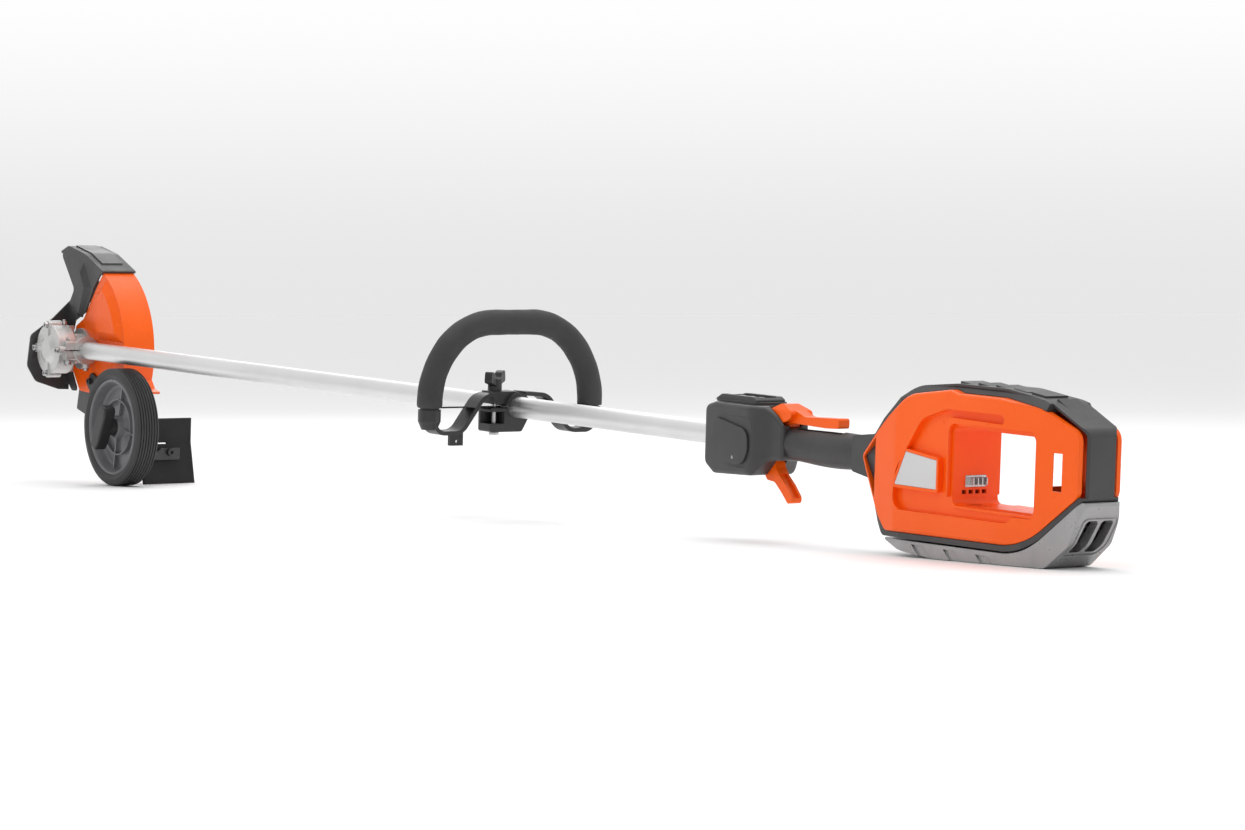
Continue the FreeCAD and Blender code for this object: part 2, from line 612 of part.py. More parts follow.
def wheel_rim():
    near, far = D.wheel_near, D.wheel_near + D.wheel_width
    outer = D.rim_rad - 0.02
    profile = [(outer, near + 3, 0.5), (outer, far - 3, 0.5), (outer - 3, far - 3, 1), (outer - 5, near + 22, 3),
               (24, near + 20, 3), (16, far - 4, 2), (D.bush_rad + 0.02, far - 4, 0),
               (D.bush_rad + 0.02, near + 6, 0),
               (15, near + 6, 1), (18, near + 16, 3), (outer - 9, near + 18, 4), (outer - 5, near + 4, 2),
               (outer - 3, near + 1, 1)]
    body = turned(profile, (WX, 0, WZ))
    ribs = []
    for n in range(4):
        rib = side_pad([(15, -1.3), (D.rim_rad - 6, -1.3), (D.rim_rad - 6, 1.3), (15, 1.3)], near + 12, near + 20)
        turn = Placement(Vector(WX, 0, WZ), Rotation(Vector(0, 1, 0), 90.0 * n - 80))
        rib.Placement = turn.multiply(rib.Placement)
        ribs.append(rib)
    ring = tube(40.0, 38.0, 10.0, (WX, near + 11, WZ), "y")
    node("wheel_rim", fuse(body, ring, *ribs))
    node("wheel_bush", tube("bush_rad", "axle_rad + running", 26.6, (WX, near + 5.2, WZ), "y"))


def wheel_knob():
    """The long lever nut that clamps the axle in its slot."""
    near = D.wheel_near - 3.5
    lean = math.radians(64)
    outline = [(-34, -7, 5), (-20, -11, 8), (20, -11, 8), (34, -7, 5), (34, 7, 5), (20, 11, 8), (-20, 11, 8),
               (-34, 7, 5)]
    spun = [(WX + x * math.cos(lean) - z * math.sin(lean), WZ + x * math.sin(lean) + z * math.cos(lean), r)
            for x, z, r in outline]
    bar = side_pad(spun, near - 16.5, near + 1.5)
    hub = cone(11.0, 12.5, 7.5, (WX, near + 0.8, WZ), "y")
    socket = cylinder("axle_rad + 0.02", 30.0, (WX, near - 14.5, WZ), "y")
    bar = fillet(bar, 2.5, lambda e: e.BoundBox.YLength < 0.01)
    node("wheel_knob", cut(fuse(bar, hub), socket))


# ---------------------------------------------------------------- debris flap
def on_floor(x):
    """The machine frame's z of the floor under x."""
    turn = math.radians(D.lean)
    return (-D.shaft_height + x * math.sin(turn)) / math.cos(turn)


def debris_flap():
    thick = D.flap_thick
    x_top, x_low = 109.0, 123.0
    z_top, z_bend, z_low = -91.0, -126.0, on_floor(x_low) + 0.4
    outline = [(x_top, z_top, 0), (x_top - thick, z_top, 0), (x_top - thick, z_bend, 8), (x_low - thick, z_low, 0),
               (x_low, z_low, 0), (x_top, z_bend, 8)]
    sheet_body = side_pad(outline, D.flap_near, D.flap_far)
    slit = box((x_top - 20, 50, -128.5), (x_top + 20, 68, -126.0))
    hole = cylinder(3.2, 60.0, (x_top - 30, 68.0, -139), "x")
    node("debris_flap", cut(sheet_body, slit, hole))
    # steel angle: bolted behind the wheel bracket, with a tab across the flap's back
    arm = rounded_box((WX - 7, 15.0, -150), (FLAP_TAB + 3, 18.0, -138), 2.0)
    tab = end_pad([(15, -150), (84, -150, 2), (84, -133, 2), (54, -133, 2), (48, -138, 3), (15, -138)],
                  FLAP_TAB, FLAP_TAB + 3)
    node("flap_bracket", cut(fuse(arm, tab), cylinder(3.2, 40.0, (FLAP_TAB - 10, 68.0, -139), "x"),
                             cylinder(2.7, 20.0, (WX, 8, ARM_Z), "y")))


# ---------------------------------------------------------------- shaft
def shaft():
    long = D.tube_end - D.tube_start
    node("shaft_tube", tube("tube_rad", "tube_rad - tube_wall", long, (D.tube_start, 0, 0), "x"))
    node("drive_rod", cylinder("rod_rad", 1552.0, (-30, 0, 0), "x"))
    liners = [tube("tube_rad - tube_wall - 0.01", "rod_rad + running", 24.0, (x, 0, 0), "x")
              for x in (120, 420, 720, 1020, 1320)]
    node("shaft_liners", group(*liners))


# ---------------------------------------------------------------- loop handle
LX = D.loop_x


def handle_path(half, top, low):
    """Centreline of the loop from the left leg's foot, over the top, to the right leg's foot."""
    r_leg, r_top = 100.0, 84.0
    in_by, shoulder = 47.0, 40.0
    return [(-half, low, 0), (-half, shoulder, r_leg), (-half + in_by, top, r_top), (half - in_by, top, r_top),
            (half, shoulder, r_leg), (half, low, 0)]


def open_wire(points, x):
    """A wire of straight runs and tangent arcs through (y, z, corner radius) points at one x."""
    corners = [Vector(x, p[0], p[1]) for p in points]
    edges, last = [], corners[0]
    for n in range(1, len(corners) - 1):
        to_before = (corners[n - 1] - corners[n]).normalize()
        to_after = (corners[n + 1] - corners[n]).normalize()
        turn = to_before.getAngle(to_after)
        radius = points[n][2]
        back = radius / math.tan(turn / 2)
        middle = (to_before + to_after).normalize() * (radius / math.sin(turn / 2) - radius)
        start, end = corners[n] + to_before * back, corners[n] + to_after * back
        if (start - last).Length > 1e-6:
            edges.append(Part.LineSegment(last, start).toShape())
        edges.append(Part.Arc(start, corners[n] + middle, end).toShape())
        last = end
    edges.append(Part.LineSegment(last, corners[-1]).toShape())
    return Part.Wire(edges)


def piped(path, radius):
    start = path.Vertexes[0].Point
    first = path.Edges[0]
    direction = first.tangentAt(first.FirstParameter)
    profile = Part.Wire([Part.makeCircle(radius, start, direction)])
    return path.makePipeShell([profile], True, True)


def loop_handle():
    half, top = D.loop_half, D.loop_top
    foam_low, leg_low = 0.0, -12.0
    core = piped(open_wire(handle_path(half, top, leg_low), LX), D.loop_rad)
    foam_path = open_wire(handle_path(half, top, foam_low), LX)
    foam = piped(foam_path, D.foam_rad).cut(piped(foam_path, D.loop_rad + 0.02))
    node("foam_grip", shaped(foam, "Foam"))
    # the flat strap under the loop: out from each leg, in and up over the shaft
    t = D.strap_thick / 2
    seat = D.tube_rad + 5.0

    def ribbon(side):
        line = [(side * half, -2, 0), (side * half, -30, 15), (side * 78, -30, 20), (side * 46, 14, 22),
                (side * 12, 16, 0)]
        wire = open_wire(line, LX)
        start = wire.Vertexes[0].Point
        w, h = D.strap_width / 2, t
        corners = [Vector(LX - w, start.y - h, start.z), Vector(LX + w, start.y - h, start.z),
                   Vector(LX + w, start.y + h, start.z), Vector(LX - w, start.y + h, start.z)]
        return wire.makePipeShell([Part.makePolygon(corners + corners[:1])], True, False)

    left, right = ribbon(-1), ribbon(1)
    saddle = Part.makeCylinder(seat, D.strap_width + 8, Vector(LX - D.strap_width / 2 - 4, 0, 0), Vector(1, 0, 0))
    saddle = saddle.fuse(Part.makeBox(D.strap_width, 36, 15, Vector(LX - D.strap_width / 2, -34, 4)))
    saddle = saddle.common(Part.makeBox(80, 90, 40, Vector(LX - 40, -45, 1.2)))
    socket_rad = D.loop_rad + 2.2
    sockets = []
    for side in (-1, 1):
        sockets.append(Part.makeCylinder(socket_rad, 14, Vector(LX, side * half, -16)))
        sockets.append(Part.makeCone(9.5, socket_rad, 10, Vector(LX, side * half, -26)))
    lug = Part.makeBox(6, 18, 16, Vector(LX - 3, -88, -46))
    lug = lug.cut(Part.makeCylinder(2.6, 20, Vector(LX - 10, -78, -41), Vector(1, 0, 0)))
    frame = core.fuse([left, right, saddle, lug] + sockets)
    bore = Part.makeCylinder(D.tube_rad + D.running, 80, Vector(LX - 40, 0, 0), Vector(1, 0, 0))
    screw_hole = Part.makeCylinder(3.2, 60, Vector(LX, -24, -20))
    node("loop_frame", shaped(frame.cut(bore).cut(screw_hole), "LoopFrame"))
    # lower clamp jaw
    jaw = end_pad([(-38, -30, 3), (8, -30, 5), (17, -14, 8), (17.6, -1.2, 0), (-38, -1.2, 2)], LX - 13, LX + 13)
    jaw_bore = cylinder("tube_rad + running", 80.0, (LX - 40, 0, 0), "x")
    pocket = box((LX - 9, -45, -20), (LX + 20, -17.5, -5.5))
    hole = cylinder(3.2, 60.0, (LX, -24, -40), "z")
    node("clamp_jaw", cut(jaw, jaw_bore, pocket, hole))
    screw = fuse(cylinder(3.0, 60.0, (LX, -24, -32.5), "z"), cylinder(6.0, 3.0, (LX, -24, -34), "z"))
    node("clamp_bolt", screw)
    wing = [(-27, 30, 3), (-25, 44, 4), (-14, 41, 5), (-8, 34, 6), (8, 34, 6), (14, 41, 5), (25, 44, 4),
            (27, 30, 3), (8, 26, 4), (7, 19.6, 0), (-7, 19.6, 0), (-8, 26, 4)]
    wing.reverse()
    wings = end_pad(wing, -4.5, 4.5)
    wings.Placement = Placement(Vector(LX, -24, 0), Rotation(Vector(0, 0, 1), 38)).multiply(wings.Placement)
    hub = cylinder(8.5, 14.0, (LX, -24, 19.6), "z")
    node("wing_knob", cut(fuse(wings, hub), cylinder(3.02, 13.0, (LX, -24, 15), "z")))


# ---------------------------------------------------------------- control housing
CTRL_SIDE = [(1512, -30, 12), (1530, -41, 8), (1600, -38, 10), (1618, -20, 12), (1640, -19, 6), (1640, 20, 6),
             (1628, 30, 10), (1612, 39, 8), (1530, 39, 8), (1512, 34, 10)]


def ctrl_solid(by):
    """The control housing's outer form, or the form inside its walls."""
    side = side_pad(inset(CTRL_SIDE, by) if by else CTRL_SIDE, -60, 60)
    half = D.ctrl_half - by
    plan = [(1508 + by, -half + 4, 12), (1600, -half, 30), (1622, -20.5 + by, 24),
            (1642 - by, -18.5 + by, 4), (1642 - by, 18.5 - by, 4), (1622, 20.5 - by, 24),
            (1600, half, 30), (1508 + by, half - 4, 12)]
    plan_body = pad(plan, 160.0, (0, 0, -80), "plan")
    return common(side, plan_body)


def control_housing():
    doc.recompute()
    outer = fillet(ctrl_solid(0), 5.0, lambda e: e.BoundBox.XMax < 1625 and e.BoundBox.YLength < 80)
    inner = ctrl_solid(D.ctrl_wall)
    tube_hole = cylinder("tube_rad + running", 40.0, (1500, 0, 0), "x")
    grip_hole = cylinder(13.0, 40.0, (1630, 0, 0), "x")
    key_hole = rounded_box((1524, -19, 30), (1596, 19, 60), 6.0, "plan")
    trigger_hole = box((1588, -7.5, -60), (1632, 7.5, -14))
    lock_hole = fuse(box((1606, -8, 14), (1642, 8, 60)), box((1610, -15.6, 19.5), (1660, 15.6, 60)))
    side_recess = rounded_box((1533, -60, -30), (1600, -D.ctrl_half + 1.6, 26), 12.0)
    shell = cut(outer, inner, tube_hole, grip_hole, key_hole, trigger_hole, lock_hole, side_recess)
    far = 100
    left = common(shell, box((1400, -far, -far), (1700, -0.02, far)))
    right = common(shell, box((1400, 0.02, -far), (1700, far, far)))
    node("control_shell_left", left)
    node("control_shell_right", right)
    y = -D.ctrl_half
    cover_outline = [(1536, -12, 12), (1556, -27, 12), (1590, -27, 16), (1597, -10, 12), (1596, 12, 14), (1536, 23, 5)]
    node("side_cover", cut(side_pad(cover_outline, y - 0.8, y + 1.5), cylinder(2.2, 10.0, (1570, y - 3, -20), "y")))
    collar = turned([(12.8, 0, 0), (18.0, 0, 1.5), (19.5, 10, 1), (12.8, 10, 0)], (1501.4, 0, 0), "x")
    collar.Placement = Placement(Vector(1501.4, 0, 0), Rotation(Vector(0, 0, 1), -90))
    node("shaft_collar", collar)


def keypad():
    z = 39.0
    base = rounded_box((1520, -22, z), (1600, 22, z + 3), 8.0, "plan")
    hood = side_pad([(1520, z + 2, 0), (1600, z + 2, 2), (1588, z + 8.5, 4), (1532, z + 8.5, 4)], -20, 20)
    well = rounded_box((1530, -13, z + 5), (1590, 13, z + 20), 4.0, "plan")
    stem = rounded_box((1525.5, -17.5, z - 6), (1594.5, 17.5, z + 1), 5.0, "plan")
    buttons = [(1540.0, 5.5), (1558.0, 5.0), (1575.0, 5.5)]
    bores = [cylinder(r + 0.3, 40.0, (x, 0, z - 12), "z") for x, r in buttons]
    node("keypad", cut(fuse(base, hood, stem), well, *bores))
    names = ("power_button", "mode_button", "boost_button")
    for name, (x, r) in zip(names, buttons):
        cap = cylinder(r, 9.0, (x, 0, z - 2), "z")
        foot = cylinder(r - 1.5, 4.0, (x, 0, z - 5.5), "z")
        node(name, fuse(cap, foot))


def trigger():
    """Throttle lever: a curved finger hung under the front of the grip."""
    pivot = (1604.0, -24.0)
    lever = [(1597, -18, 3), (1594, -34, 5), (1601, -43, 5), (1614, -44, 8), (1628, -56, 8), (1638, -66, 4),
             (1645, -65, 4), (1645, -58, 4), (1634, -46, 10), (1622, -36, 8), (1616, -28, 5), (1612, -18, 3)]
    body = side_pad(lever, -7.0, 7.0)
    pin_hole = cylinder(2.05, 30.0, (pivot[0], -15, pivot[1]), "y")
    groove = side_pad([(1619, -36), (1631, -48), (1642, -60), (1650, -58), (1640, -44), (1626, -32)], -4.0, 4.0)
    node("throttle_trigger", cut(body, pin_hole, groove))
    blocks = [box((1598, y, -26.4), (1607, y + 5, -14)) for y in (-13, 8)]
    bridge = box((1598, -13, -14.5), (1607, 13, -11))
    node("trigger_mount", cut(fuse(*blocks, bridge), cylinder(2.0, 40.0, (pivot[0], -20, pivot[1]), "y")))
    pins = [cylinder(2.0, 24.0, (pivot[0], -12, pivot[1]), "y"), cylinder(2.0, 30.0, (1625, -15, 24), "y")]
    node("lever_pins", group(*pins))
    switch = rounded_box((1583, -6, -30), (1592, 6, -20), 1.5)
    node("trigger_switch", fuse(switch, cylinder(1.8, 2.2, (1591.5, 0, -25), "x")))


def trigger_lock():
    """Lockout lever on top: a saddle ahead of the grip and a long tail along it."""
    hump = [(1612, 20, 3), (1612, 36, 8), (1628, 44, 10), (1646, 37, 14), (1664, 31, 20), (1722, 33.5, 3),
            (1722, 22.5, 3), (1700, 21.5, 0), (1656, 22.5, 8), (1640, 22.5, 2), (1634, 14, 2), (1618, 12, 2)]
    hump.reverse()
    body = side_pad(hump, -7.4, 7.4)
    saddle_outline = [(1612, 22, 4), (1612, 36, 8), (1628, 44, 10), (1646, 37, 10), (1654, 32, 6), (1642, 25, 4),
                      (1624, 20, 3)]
    saddle_outline.reverse()
    crown = end_pad([(-15, 10), (15, 10), (15, 36, 6), (8, 46, 10), (-8, 46, 10), (-15, 36, 6)], 1600, 1670)
    saddle = common(side_pad(saddle_outline, -15, 15), crown)
    clear = ctrl_clearance()
    pin_hole = cylinder(2.05, 40.0, (1625, -20, 24), "y")
    node("trigger_lockout", cut(fuse(body, saddle), clear, pin_hole))


def ctrl_clearance():
    """Room for the control shell and the grip under the lockout lever."""
    neck = rounded_box((1600, -22, -22), (1660, 22, 21.2), 14.0, "end")
    block = box((1590, -40, -30), (1611.6, 40, 60))
    keep = cut(fuse(neck, block), box((1609, -7.6, 10), (1637, 7.6, 70)))
    return keep


def motor():
    x0, long = D.motor_x, D.motor_long
    plates = [tube("motor_rad", "rod_rad + 3.5", 2.6, (x, 0, 0), "x") for x in (x0 - 2.2, x0 + long - 0.4)]
    node("motor_stator", fuse(tube("motor_rad", 15.5, "motor_long", (x0, 0, 0), "x"), *plates))
    rotor = cylinder(15.0, "motor_long - 2.8", (x0 + 1.4, 0, 0), "x")
    node("motor_rotor", fuse(rotor, cylinder("rod_rad", long + 20, (x0 - 14, 0, 0), "x")))
    node("rod_coupling", tube(8.0, "rod_rad + 0.01", 22.0, (x0 - 25.5, 0, 0), "x"))


def grip():
    start, end = D.grip_start + 2.4, D.grip_end
    half, tall = D.grip_half, D.grip_tall
    sections = []
    for x, grow in ((start, 0.0), (start + 30, 0.8), ((start + end) / 2, 1.6), (end - 25, 1.2), (end, 0.0)):
        circle = Part.makeCircle(1.0, Vector(0, 0, 0), Vector(1, 0, 0))
        matrix = FreeCAD.Matrix()
        matrix.scale(Vector(1, half + grow * 0.7, tall + grow))
        matrix.move(Vector(x, 0, -grow * 0.6))
        sections.append(Part.Wire([circle.transformGeometry(matrix)]))
    sleeve = Part.makeLoft(sections, True, False)
    core = Part.makeCylinder(13.0, end - start, Vector(start, 0, 0), Vector(1, 0, 0))
    lever_slot = Part.makeBox(77, 15.8, 30, Vector(1650, -7.9, 13.2))
    node("grip_sleeve", shaped(sleeve.cut(core).cut(lever_slot), "Grip"))
    node("grip_core", tube(12.98, 9.5, D.grip_end + 22 - 1634, (1634, 0, 0), "x"))


# ---------------------------------------------------------------- battery housing
HOUSE_SIDE = [(1779, 0, 5), (1788, -15, 8), (1819, -60, 20), (1834, -74, 12), (2046, -70, 100),
              (2120, -13, 12), (2120, 50, 14), (2068, 70, 60), (2010, 77, 60), (1945, 77, 10), (1932, 80, 8),
              (1866, 71, 50)]
SPINE_SIDE = [(1757, -19, 4), (1790, -24, 12), (1814, -66, 12), (1826, -80, 8), (2048, -76.5, 100),
              (2124, -17, 10), (2124, 52, 12), (2070, 78, 60), (2006, 86, 80), (1930, 86, 40), (1870, 80, 40),
              (1800, 24, 10), (1757, 19, 4)]
PLAN_SIDE = [(1786, -18, 8), (1822, -30, 20), (1860, -35, 30), (2040, -35, 30), (2122, -27, 12), (2129, -18, 10),
             (2129, 18, 10), (2122, 27, 12), (2040, 35, 30), (1860, 35, 30), (1822, 30, 20), (1786, 18, 8)]


def housing_spine():
    half = D.spine_half
    outer = side_pad(SPINE_SIDE, -half, half)
    plan = [(1755, -17, 2), (1800, -19, 30), (1850, -half, 30), (2118, -half, 6), (2126, -half + 8, 4),
            (2126, half - 8, 4), (2118, half, 6), (1850, half, 30), (1800, 19, 30), (1755, 17, 2)]
    shaped_outer = common(outer, pad(plan, 240.0, (0, 0, -120), "plan"))
    inner = side_pad(inset(SPINE_SIDE, D.house_wall), -half - 1, half + 1)
    keep_ribs = side_pad([(1750, -30), (1806, -30), (1806, 30), (1750, 30)], -half - 2, half + 2)
    hollow = cut(inner, keep_ribs)
    neck = cylinder(13.02, 60.0, (1752, 0, 0), "x")
    pads = []
    for n in range(5):
        x = 1925 + 27 * n
        z = 86 - 0.0021 * max(x - 1960, 0) ** 1.75
        step = side_pad([(x, z - 6), (x + 20, z - 7), (x + 22, z - 0.4), (x + 1, z + 2.2)], -half + 8, half - 8)
        pads.append(step)
    ridge = side_pad([(2062, 74), (2112, 50), (2116, 54), (2068, 80)], -half + 12, half - 8)
    # the rim that covers the panels' top edge and runs between them and the skid
    band = cut(side_pad(SPINE_SIDE, -34, 34), side_pad(inset(HOUSE_SIDE, -0.3), -40, 40),
               side_pad(inset(SPINE_SIDE, 14), -40, 40))
    section = end_pad([(-33.5, -100), (33.5, -100), (33.5, 66, 6), (19, 87, 8), (-19, 87, 8), (-33.5, 66, 6)],
                      1740, 2140)
    reach = pad(inset(PLAN_SIDE, 1.0), 300.0, (0, 0, -150), "plan")
    kept = fuse(box((1776, -40, -100), (2074, 40, 100)), box((2060, -40, -100), (2140, 40, -14)))
    rim = common(common(common(band, section), reach), kept)
    node("housing_spine", cut(fuse(cut(fuse(shaped_outer, *pads, ridge), hollow), rim), neck))


def side_panel(sign):
    """One orange shell of the battery housing. sign is -1 for the wheel side and +1 for the blade side."""
    low, high = D.spine_half + 0.05, D.house_half

    def slab(outline, a, b):
        return side_pad(outline, *sorted((sign * a, sign * b)))

    outer = fillet(slab(HOUSE_SIDE, 17.0, high), 4.0,
                   lambda e: e.BoundBox.YLength < 0.01 and abs(abs(e.BoundBox.YMin) - high) < 0.01)
    # seen from above: along the spine's side, back round the tail, and in towards the grip at the nose
    plan = [(1770, 17.75, 0), (1800, 19.08, 0), (1850, low + 0.03, 0), (2130, low + 0.03, 0), (2124, 28, 0),
            (2010, high, 30), (1850, high, 30), (1812, 29, 30), (1782, 21, 0)]
    if sign < 0:
        plan = [(x, -y, r) for x, y, r in reversed(plan)]
    shaped_outer = common(outer, pad(plan, 300.0, (0, 0, -150), "plan"))
    sunk = [(1846, -50, 14), (2030, -48, 14), (2034, -30, 6), (1932, -30, 4), (1932, 52, 4), (2048, 50, 8),
            (2010, 60, 30), (1930, 60, 30), (1892, 48, 30), (1852, -8, 20)]
    recess = slab(sunk, high - 6.5, high + 5)
    wall = D.house_wall
    inner = slab(inset(HOUSE_SIDE, wall), low - 8, low + 5.2)
    bay = rounded_box((D.bay_x0 - 3.05, -60, D.bay_z0 - 3.05), (D.bay_x1 + 3.05, 60, D.bay_z1 + 3.05), 9.0)
    slit_plan = [(2095, sign * 40), (2105, sign * 40), (2093, sign * 23), (2079, sign * 23)]
    if sign > 0:
        slit_plan.reverse()
    slit = pad(slit_plan, 38.0, (0, 0, -10), "plan")
    fixings = [cylinder(2.4, 30.0, (x, -15 + sign * 35, z), "y") for x, z in HOUSE_SCREWS]
    if sign < 0:
        fixings = [tube(3.2, 2.4, 2.0, (HOUSE_SCREWS[1][0], -high - 1.4, HOUSE_SCREWS[1][1]), "y")]
    solid = cut(shaped_outer, recess, inner, bay, slit, *fixings)
    if sign < 0:
        bezel_outline = [(1846, -27, 4), (1920, -27, 4), (1920, 9, 4), (1866, 15, 4)]
        bezel = side_pad(bezel_outline, -high - 0.5, -high + 7)
        seat = side_pad(inset(bezel_outline, 3), -high - 1, -high + 0.7)
        solid = fuse(solid, cut(bezel, seat))
        node("label_plate", side_pad(inset(bezel_outline, 3.2), -high - 0.2, -high + 0.6))
    clip = slab([(2088, -20, 4), (2110, -20, 4), (2110, 42, 4), (2088, 42, 4)], high - 8, high - 1.5)
    clip = common(clip, pad(plan, 300.0, (0, 0, -150), "plan"))
    return cut(fuse(solid, clip), slit)


HOUSE_SCREWS = ((1846.0, 26.0), (2084.0, 40.0), (2074.0, -36.0), (1846.0, -58.0))


def battery_housing():
    node("side_panel_left", side_panel(-1))
    node("side_panel_right", side_panel(1))
    x0, x1, z0, z1 = D.bay_x0, D.bay_x1, D.bay_z0, D.bay_z1
    outer = rounded_box((x0 - 3, -31, z0 - 3), (x1 + 3, 31, z1 + 3), 9.0)
    inner = rounded_box((x0, -40, z0), (x1, 40, z1), 7.0)
    vents = [box((x0 - 5, -18 + 9 * n, -27), (x0 + 2, -12 + 9 * n, -23)) for n in range(4)]
    floor_vents = [box((x0 + 4 + 8 * n, -16, z0 - 6), (x0 + 8 + 8 * n, 4, z0 + 1)) for n in range(4)]
    socket = box((x0 - 6, -14, -20), (x0 + 1, 14, -8))
    window = box((x1 - 1, -22, -8), (x1 + 5, 22, 26))
    rails = [box((x0 + 40, -24, z), (x1 - 0.05, 24, z + 2.5)) for z in (z0 - 0.5, z1 - 2.0)]
    node("battery_bay", cut(fuse(cut(outer, inner), *rails), *vents, *floor_vents, socket, window))
    block = box((x0 - 16, -13.9, -19.9), (x0 + 0.5, 13.9, -8.1))
    blades = [box((x0 - 4, y, -18), (x0 + 7, y + 1.2, -10)) for y in (-9, -3, 3, 9)]
    node("terminal_block", fuse(block, *blades))
    node("circuit_boards", group(box((1846, -18, 20), (1926, 18, 24)), box((1527, -15, 27.5), (1593, 15, 29.1))))
    high = D.house_half
    screws = [socket_screw((x, high - 8.5, z), "y", -1, 2.3, 2.5, 1.4, 6.0) for x, z in HOUSE_SCREWS]
    screws.append(socket_screw((1570, -D.ctrl_half - 0.4, -20), "y", 1, 2.1, 1.0, 1.2, 0.8))
    node("housing_screws", group(*screws))


def floor_edge(x, lift=0.0):
    return (x, on_floor(x) + lift)


SKID_SIDE = [(1812, -82.5, 3), (1850, -92, 12), (*floor_edge(1905), 20), (*floor_edge(2078), 14), (2110, -62, 20),
             (2128, -20, 6), (2123.8, -18.2, 2), (2047, -78.5, 100), (1824, -82.3, 4)]


def skid():
    half = D.house_half - 4
    plan = [(1808, -18, 8), (1860, -half, 30), (2060, -half, 30), (2122, -half + 4, 12), (2129, -half + 14, 10),
            (2129, half - 14, 10), (2122, half - 4, 12), (2060, half, 30), (1860, half, 30), (1808, 18, 8)]
    outer = common(side_pad(SKID_SIDE, -half, half), pad(plan, 300.0, (0, 0, -150), "plan"))
    room = side_pad([(1852, -83, 3), (1908, -90, 8), (2070, -82, 8), (2098, -60, 10), (2112, -34, 4),
                     (2100, -30, 4), (2086, -50, 30), (2046, -70, 20)], -half + 3, half - 3)
    hollow = common(room, pad(inset(plan, 3), 300.0, (0, 0, -150), "plan"))
    vents = []
    for y_low, y_high in ((-21, -5.5), (-0.5, 15)):
        slot = [(y_low, -70, 3), (y_high, -70, 3), (y_high + 7, -37, 4), (y_low + 6, -37, 5)]
        vents.append(end_pad(slot, 2090, 2140))
    frame_outline = [(-26, -74, 6), (21, -74, 6), (28, -33, 7), (-20, -33, 8)]
    sunk = cut(end_pad(frame_outline, 2080, 2140), end_pad(inset(frame_outline, 2.2), 2070, 2150))
    groove = common(sunk, cut(side_pad(SKID_SIDE, -30, 30), side_pad(inset(SKID_SIDE, 0.9), -31, 31)))
    bites = []
    for sign in (-1, 1):
        for n in range(4):
            x = 1838 + 50 * n
            bites.append(side_pad([(x + 6, -84.5), (x - 12, -84.5), (x + 12, -107), (x + 38, -107)],
                                  *sorted((sign * (half - 2.2), sign * (half + 4)))))
    node("skid_plate", cut(outer, hollow, groove, *vents, *bites))
    plate = side_pad([(2090, -62), (2094.5, -60.5), (2108.5, -34.8), (2104, -34)], -19, 20)
    slots = [box((2080, -17.5 + 6 * n, -57 + 6.5 * m), (2120, -13 + 6 * n, -52.5 + 6.5 * m))
             for n in range(6) for m in range(3)]
    node("intake_grille", cut(plate, *slots))


# ---------------------------------------------------------------- build, check and write
for make in (gearbox_case, gearbox_cover, gearbox_screws, gears, arbor, blade, blade_guard, guard_hood,
             guard_fasteners, wheel_bracket, wheel_carriage, tyre, wheel_rim, wheel_knob, debris_flap, shaft,
             loop_handle, control_housing, keypad, trigger, trigger_lock, motor, grip, housing_spine,
             battery_housing, skid):
    make()
doc.recompute()

faults = [f"{thing.Label}: {thing.State}" for thing in doc.Objects
          if "Invalid" in thing.State or "Error" in thing.State]
for label, thing in NODES.items():
    shape = thing.Shape
    if shape.isNull() or not shape.isValid() or not shape.Solids:
        faults.append(f"{label}: not a valid solid")
if faults:
    raise SystemExit("\n".join(faults))
for label, thing in NODES.items():
    thing.Shape.exportStep(os.path.join("parts", label + ".step"))
whole = Part.makeCompound([thing.Shape for thing in NODES.values()])
bounds = whole.BoundBox
print(len(NODES), "nodes; x %.1f %.1f  y %.1f %.1f  z %.1f %.1f" % (
    bounds.XMin, bounds.XMax, bounds.YMin, bounds.YMax, bounds.ZMin, bounds.ZMax))
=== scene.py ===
import json
import math

import bpy
from mathutils import Matrix, Vector


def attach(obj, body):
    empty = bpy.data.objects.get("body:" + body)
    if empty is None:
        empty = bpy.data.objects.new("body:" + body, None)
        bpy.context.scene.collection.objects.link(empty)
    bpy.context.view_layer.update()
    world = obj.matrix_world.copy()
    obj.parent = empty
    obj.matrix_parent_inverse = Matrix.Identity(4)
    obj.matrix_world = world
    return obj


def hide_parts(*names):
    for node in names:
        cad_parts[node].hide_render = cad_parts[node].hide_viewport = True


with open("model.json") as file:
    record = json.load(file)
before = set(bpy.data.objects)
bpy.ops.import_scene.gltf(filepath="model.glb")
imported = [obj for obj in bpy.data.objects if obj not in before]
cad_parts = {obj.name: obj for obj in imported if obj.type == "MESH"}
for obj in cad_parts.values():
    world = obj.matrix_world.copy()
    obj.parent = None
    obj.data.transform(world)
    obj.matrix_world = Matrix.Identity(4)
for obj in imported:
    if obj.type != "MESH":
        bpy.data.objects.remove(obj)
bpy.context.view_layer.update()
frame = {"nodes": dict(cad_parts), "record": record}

NODES = frame["nodes"]

# The machine lies tilted on its wheel and its skid: shaft axis x, up z, in metres from the shaft's front end.
LEAN = math.radians(2.84)
CENTRE_X, SHAFT_HEIGHT = 1.003987, 0.1907
MACHINE = Matrix.Translation((-CENTRE_X, 0, SHAFT_HEIGHT)) @ Matrix.Rotation(LEAN, 4, "Y")
MM = 0.001


